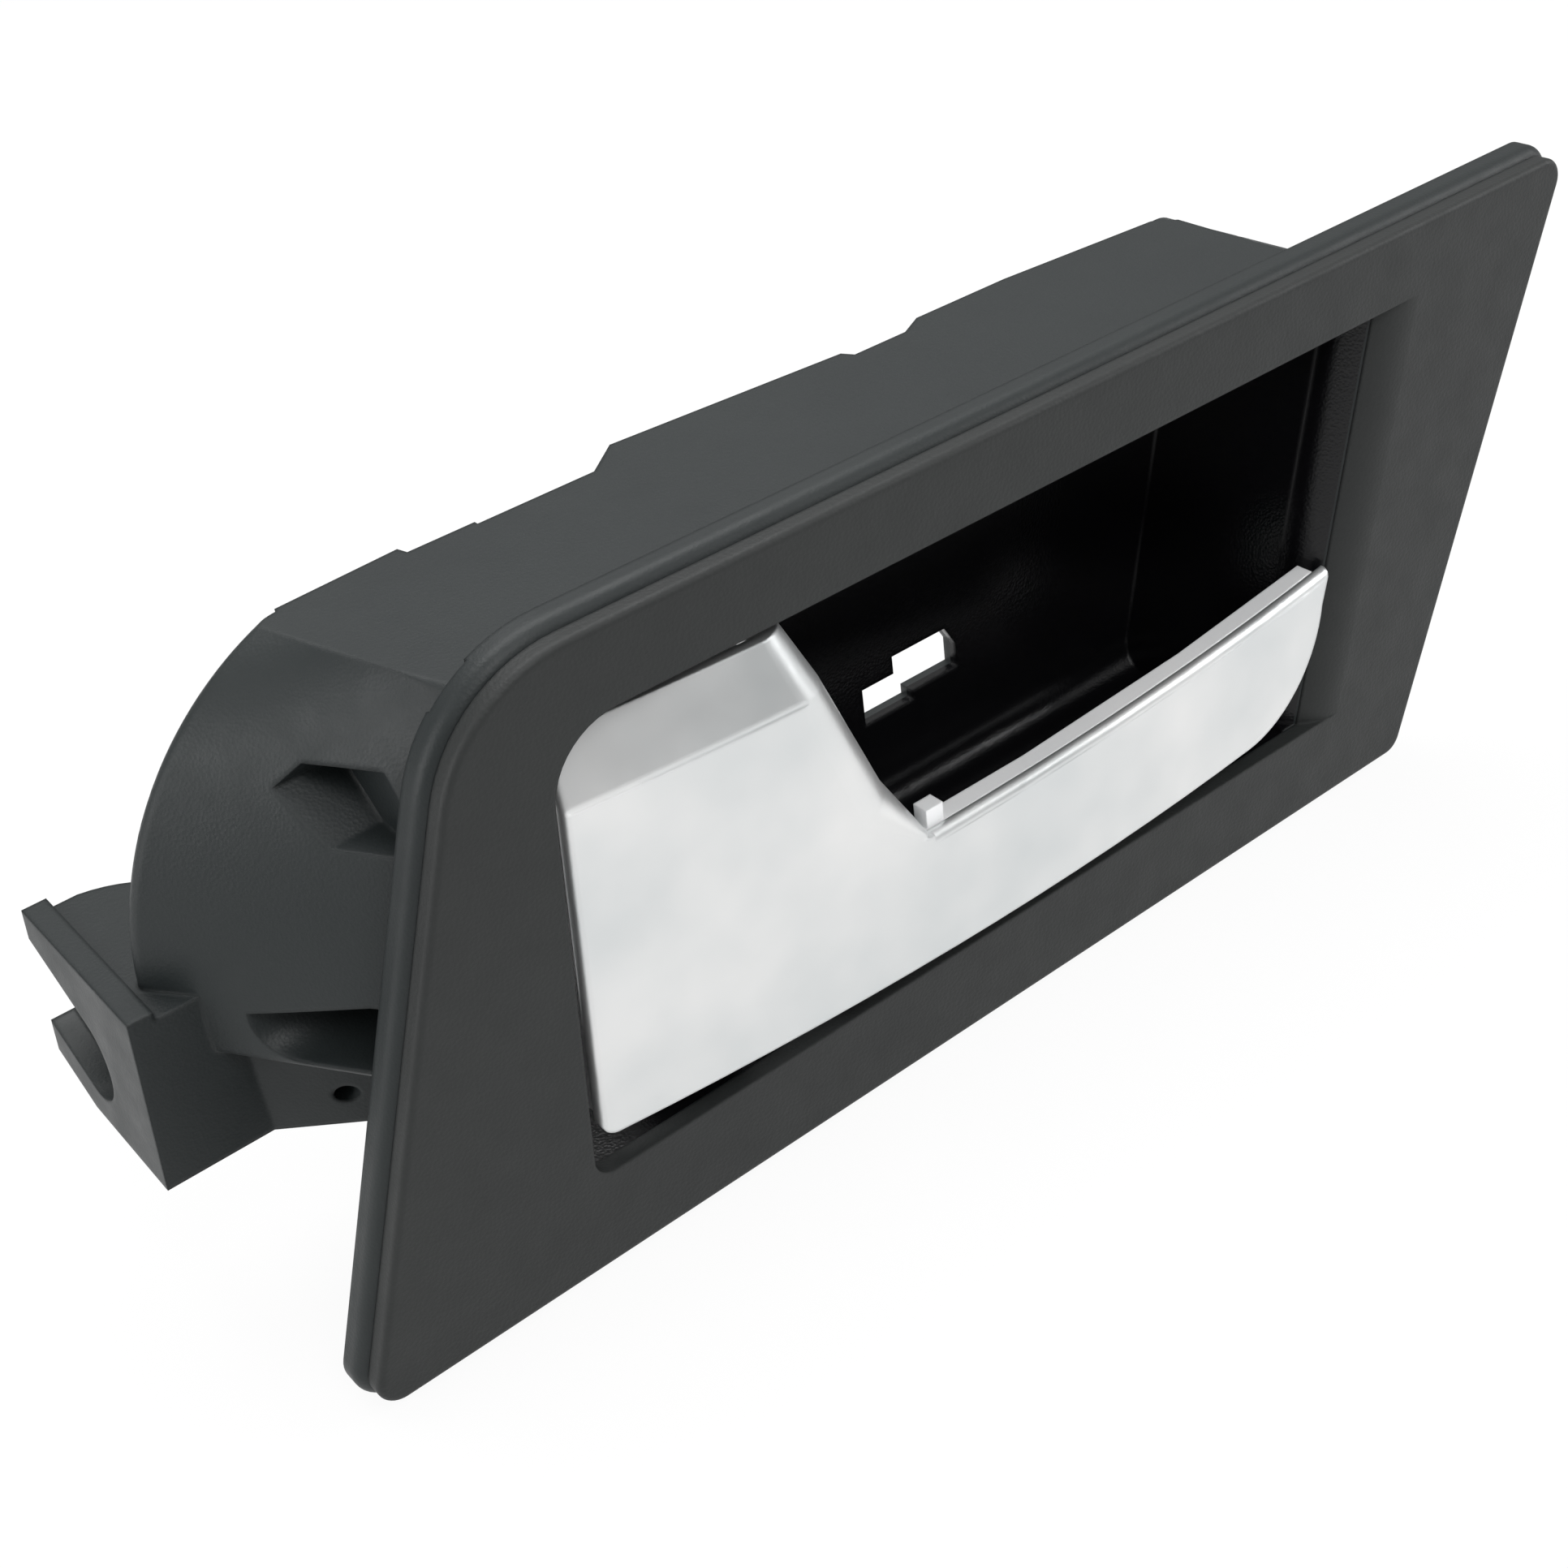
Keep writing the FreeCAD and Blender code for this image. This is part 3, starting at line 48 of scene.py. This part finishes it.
def empty_tree(owner):
    """Node tree of a material or world, with nothing in it."""
    owner.use_nodes = True
    owner.node_tree.nodes.clear()
    return owner.node_tree


def add_node(tree, kind, inputs=None, **settings):
    """Add a shader node. An input takes a value, or another node's output to link to."""
    node = tree.nodes.new("ShaderNode" + kind)
    for name, value in settings.items():
        setattr(node, name, value)
    for name, value in (inputs or {}).items():
        if isinstance(value, bpy.types.NodeSocket):
            tree.links.new(value, node.inputs[name])
        else:
            node.inputs[name].default_value = value
    return node


def calculate(tree, operation, first, second):
    return add_node(tree, "Math", {0: first, 1: second}, operation=operation).outputs[0]


def object_place(tree):
    return add_node(tree, "TexCoord").outputs["Object"]


def noise(tree, scale, detail):
    inputs = {"Vector": object_place(tree), "Scale": scale, "Detail": detail, "Roughness": 0.55}
    return add_node(tree, "TexNoise", inputs).outputs["Fac"]


def map_range(tree, value, from_range, to_range):
    inputs = {"Value": value, "From Min": from_range[0], "From Max": from_range[1],
              "To Min": to_range[0], "To Max": to_range[1]}
    return add_node(tree, "MapRange", inputs).outputs["Result"]


def spread(tree, source, to_range):
    """Map the part of its range that a noise really fills."""
    return map_range(tree, source, (0.3, 0.7), to_range)


def mix(tree, kind, factor, first, second):
    inputs = {"Factor": factor, "A": first, "B": second}
    return add_node(tree, "Mix", inputs, data_type=kind).outputs["Result"]


def tint(tree, factor, dark, light):
    return mix(tree, "RGBA", factor, (*dark, 1), (*light, 1))


def soft_edges(tree, radius):
    return add_node(tree, "Bevel", {"Radius": radius}, samples=4).outputs["Normal"]


def bump(tree, height, strength, distance, normal=None):
    inputs = {"Height": height, "Strength": strength, "Distance": distance}
    if normal is not None:
        inputs["Normal"] = normal
    return add_node(tree, "Bump", inputs).outputs["Normal"]


def shade(tree, inputs):
    shader = add_node(tree, "BsdfPrincipled", inputs)
    add_node(tree, "OutputMaterial", {"Surface": shader.outputs["BSDF"]})


# Materials

def recess_shade_and_gloss_mask(tree):
    """1 inside the finger recess and 0 elsewhere: where the housing gets painted shade and more
    gloss. Its ends lean as those of the opening do.
    """
    place = add_node(tree, "SeparateXYZ", {"Vector": object_place(tree)})
    across, depth, height = place.outputs
    above_middle = calculate(tree, "SUBTRACT", height, 35 * mm)
    left_lean, right_lean = 0.09, 0.223
    from_left = calculate(tree, "SUBTRACT", across,
                          calculate(tree, "MULTIPLY", above_middle, left_lean))
    from_right = calculate(tree, "SUBTRACT", across,
                           calculate(tree, "MULTIPLY", above_middle, right_lean))
    right_end = map_range(tree, depth, (-3.6 * mm, 1.5 * mm), (61.5 * mm, 56.2 * mm))
    inside = calculate(tree, "GREATER_THAN", depth, -3.4 * mm)
    for operation, value, limit in (
            ("LESS_THAN", depth, 26.2 * mm),
            ("GREATER_THAN", height, 6.5 * mm),
            ("LESS_THAN", height, 69.8 * mm),
            ("GREATER_THAN", from_left, -68.8 * mm),
            ("LESS_THAN", from_right, right_end)):
        inside = calculate(tree, "MULTIPLY", inside, calculate(tree, operation, value, limit))
    return inside


def grained_plastic(name, dark, light, grain, depth, roughness, edge, glossy_recess_with_painted_shade=False):
    """Moulded plastic with a fine cellular grain and a slow change of tone."""
    material = bpy.data.materials.new(name)
    tree = empty_tree(material)
    colour = tint(tree, noise(tree, 28, 3), dark, light)
    gloss = spread(tree, noise(tree, 180, 4), roughness)
    if glossy_recess_with_painted_shade:
        inside = recess_shade_and_gloss_mask(tree)
        # Painted shade: the recess is coloured near-black, standing in for shade, and its gloss
        # is raised.
        colour = mix(tree, "RGBA", inside, colour, (0.0035, 0.0035, 0.0042, 1))
        gloss = mix(tree, "FLOAT", inside, gloss, 0.2)
    cells = add_node(tree, "TexVoronoi", {"Vector": object_place(tree), "Scale": grain})
    normal = bump(tree, cells.outputs["Distance"], 0.55, depth, soft_edges(tree, edge))
    normal = bump(tree, noise(tree, grain * 2.2, 3), 0.3, depth, normal)
    shade(tree, {"Base Color": colour, "Roughness": gloss, "Normal": normal,
                 "Specular IOR Level": 0.3})
    return material


def silver_paint(name, dark, light, roughness, metallic, edge):
    """Satin silver paint: a slightly wavy surface, a soft tone change and uneven gloss."""
    material = bpy.data.materials.new(name)
    tree = empty_tree(material)
    cloud = spread(tree, noise(tree, 35, 3), (0, 1))
    gloss = spread(tree, noise(tree, 90, 4), roughness)
    normal = bump(tree, noise(tree, 42, 1), 0.35, 1.2 * mm, soft_edges(tree, edge))
    shade(tree, {"Base Color": tint(tree, cloud, dark, light), "Metallic": metallic,
                 "Roughness": gloss, "Normal": normal})
    return material


def plain_metal(name, colour, roughness, scale):
    """Bare metal with patches of tone and gloss."""
    material = bpy.data.materials.new(name)
    tree = empty_tree(material)
    patches = noise(tree, scale, 4)
    darker = [channel * 0.8 for channel in colour]
    shade(tree, {"Base Color": tint(tree, patches, darker, colour), "Metallic": 1.0,
                 "Roughness": spread(tree, patches, roughness),
                 "Normal": bump(tree, noise(tree, 2500, 3), 0.2, 0.03 * mm)})
    return material


housing_plastic = grained_plastic(
    "housing_plastic", (0.012, 0.015, 0.016), (0.018, 0.022, 0.022), 2600, 0.03 * mm,
    (0.4, 0.5), 0.8 * mm, glossy_recess_with_painted_shade=True)
bezel_plastic = grained_plastic(
    "bezel_plastic", (0.016, 0.0172, 0.0175), (0.021, 0.0232, 0.0225), 2100, 0.05 * mm,
    (0.45, 0.55), 0.5 * mm)
cover_silver = silver_paint(
    "cover_silver", (0.62, 0.645, 0.65), (0.8, 0.8, 0.795), (0.29, 0.38), 0.75, 0.5 * mm)
# Painted light: a paler, less metallic copy of the silver paint, so the lever body's up-facing
# top strip reads as brightly lit.
body_silver_painted_light = silver_paint(
    "body_silver_painted_light", (0.84, 0.85, 0.86), (0.9, 0.9, 0.9), (0.29, 0.36), 0.15, 0.3 * mm)
steel = plain_metal("zinc_steel", (0.62, 0.62, 0.63), (0.29, 0.4), 300)
spring_steel = plain_metal("spring_steel", (0.36, 0.36, 0.37), (0.29, 0.38), 500)
bearing_plastic = grained_plastic(
    "bearing_plastic", (0.74, 0.73, 0.69), (0.8, 0.79, 0.75), 3000, 0.01 * mm,
    (0.35, 0.45), 0.2 * mm)
rubber = grained_plastic(
    "bumper_rubber", (0.018, 0.018, 0.018), (0.026, 0.026, 0.026), 2400, 0.03 * mm,
    (0.7, 0.85), 0.4 * mm)

FINISHES = {
    "housing": housing_plastic,
    "bezel": bezel_plastic,
    "lever_cover": cover_silver,
    "lever_body": body_silver_painted_light,
    "pivot_pin": steel,
    "upper_bushing": bearing_plastic,
    "lower_bushing": bearing_plastic,
    "cable_bush": bearing_plastic,
    "return_spring": spring_steel,
    "rest_bumper": rubber,
    "travel_bumper": rubber,
    "cover_screw_1": steel,
    "cover_screw_2": steel,
    "cover_screw_3": steel,
    "cover_screw_4": steel,
}
for name, material in FINISHES.items():
    data = nodes[name].data
    data.materials.clear()
    data.materials.append(material)


# Return spring: a fixed copy of the spring's mesh stands in for the part, which is hidden

coil = bpy.data.objects.new("return_spring_coil", nodes["return_spring"].data.copy())
coil.matrix_world = nodes["return_spring"].matrix_world
bpy.context.scene.collection.objects.link(coil)
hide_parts("return_spring")
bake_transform(coil)


# Camera, as measured from the photograph

camera_data = bpy.data.cameras.new("camera")
camera_data.lens = 50.47
camera_data.sensor_width = 36
camera_data.dof.use_dof = False
camera_data.clip_start = 0.01
camera_data.clip_end = 20
camera = bpy.data.objects.new("camera", camera_data)
bpy.context.scene.collection.objects.link(camera)
right = Vector((0.77299, -0.62495, -0.10914)).normalized()
forward = Vector((0.4656, 0.67571, -0.57152)).normalized()
up = right.cross(forward).normalized()
right = forward.cross(up).normalized()
turn = Matrix((right, up, -forward)).transposed()
camera.matrix_world = (Matrix.Translation(Vector((-145.67, -165.88, 180.87)) * mm)
                       @ turn.to_4x4())
bpy.context.scene.camera = camera


# Floor, white to the camera and to reflections, and grey enough elsewhere to keep a shadow

floor_reach = 4.0
floor_level = cad_box[0][2] - 0.2 * mm
floor_mesh = bpy.data.meshes.new("floor")
corners = [(-floor_reach, -floor_reach, floor_level), (floor_reach, -floor_reach, floor_level),
           (floor_reach, floor_reach, floor_level), (-floor_reach, floor_reach, floor_level)]
floor_mesh.from_pydata(corners, [], [(0, 1, 2, 3)])
floor = bpy.data.objects.new("floor", floor_mesh)
bpy.context.scene.collection.objects.link(floor)

floor_material = bpy.data.materials.new("white_floor")
floor_mesh.materials.append(floor_material)
tree = empty_tree(floor_material)
ray = add_node(tree, "LightPath").outputs
seen = calculate(tree, "MAXIMUM", ray["Is Camera Ray"], ray["Is Glossy Ray"])
paint = add_node(tree, "BsdfDiffuse", {"Color": (0.8, 0.8, 0.8, 1)})
glow = add_node(tree, "Emission", {"Strength": 1.0})
glow_share = 0.93
surface = add_node(tree, "MixShader", {"Fac": calculate(tree, "MULTIPLY", seen, glow_share),
                                       1: paint.outputs["BSDF"], 2: glow.outputs["Emission"]})
add_node(tree, "OutputMaterial", {"Surface": surface.outputs["Shader"]})


# World: a room that brightens upwards, plain and pale to the camera

world = bpy.data.worlds.new("studio")
bpy.context.scene.world = world
tree = empty_tree(world)
ray = add_node(tree, "LightPath").outputs
place = add_node(tree, "TexCoord").outputs["Generated"]
height = add_node(tree, "SeparateXYZ", {"Vector": place}).outputs["Z"]
brightness = map_range(tree, height, (0, 0.75), (0.22, 0.85))
room = add_node(tree, "Background", {"Strength": brightness})
backdrop = add_node(tree, "Background", {"Strength": 1.0})
surface = add_node(tree, "MixShader", {"Fac": ray["Is Camera Ray"],
                                       1: room.outputs["Background"],
                                       2: backdrop.outputs["Background"]})
add_node(tree, "OutputWorld", {"Surface": surface.outputs["Shader"]})


# Lamps, all aimed at the middle of the handle

middle = Vector((0, 0.01, 0.035))
for name, place, width, height, watts in (
        ("top_light", (0.1, 0.35, 0.9), 0.8, 0.6, 7),
        ("front_light", (-0.1, -0.65, 0.85), 0.5, 0.4, 4),
        ("right_light", (0.7, -0.35, 0.35), 0.3, 0.4, 2),
        ("side_light", (-0.8, 0.15, 0.3), 0.3, 0.5, 2.5),
        ("glint_light_1", (0.475, -0.421, 0.5), 0.045, 0.03, 0.12),
        ("glint_light_2", (0.551, -0.399, 0.478), 0.035, 0.03, 0.1)):
    light = bpy.data.lights.new(name, "AREA")
    light.shape = "RECTANGLE"
    light.size = width
    light.size_y = height
    light.energy = watts
    lamp = bpy.data.objects.new(name, light)
    bpy.context.scene.collection.objects.link(lamp)
    lamp.location = place
    lamp.rotation_euler = (middle - Vector(place)).to_track_quat("-Z", "Y").to_euler()

bpy.context.scene.view_settings.view_transform = "Standard"
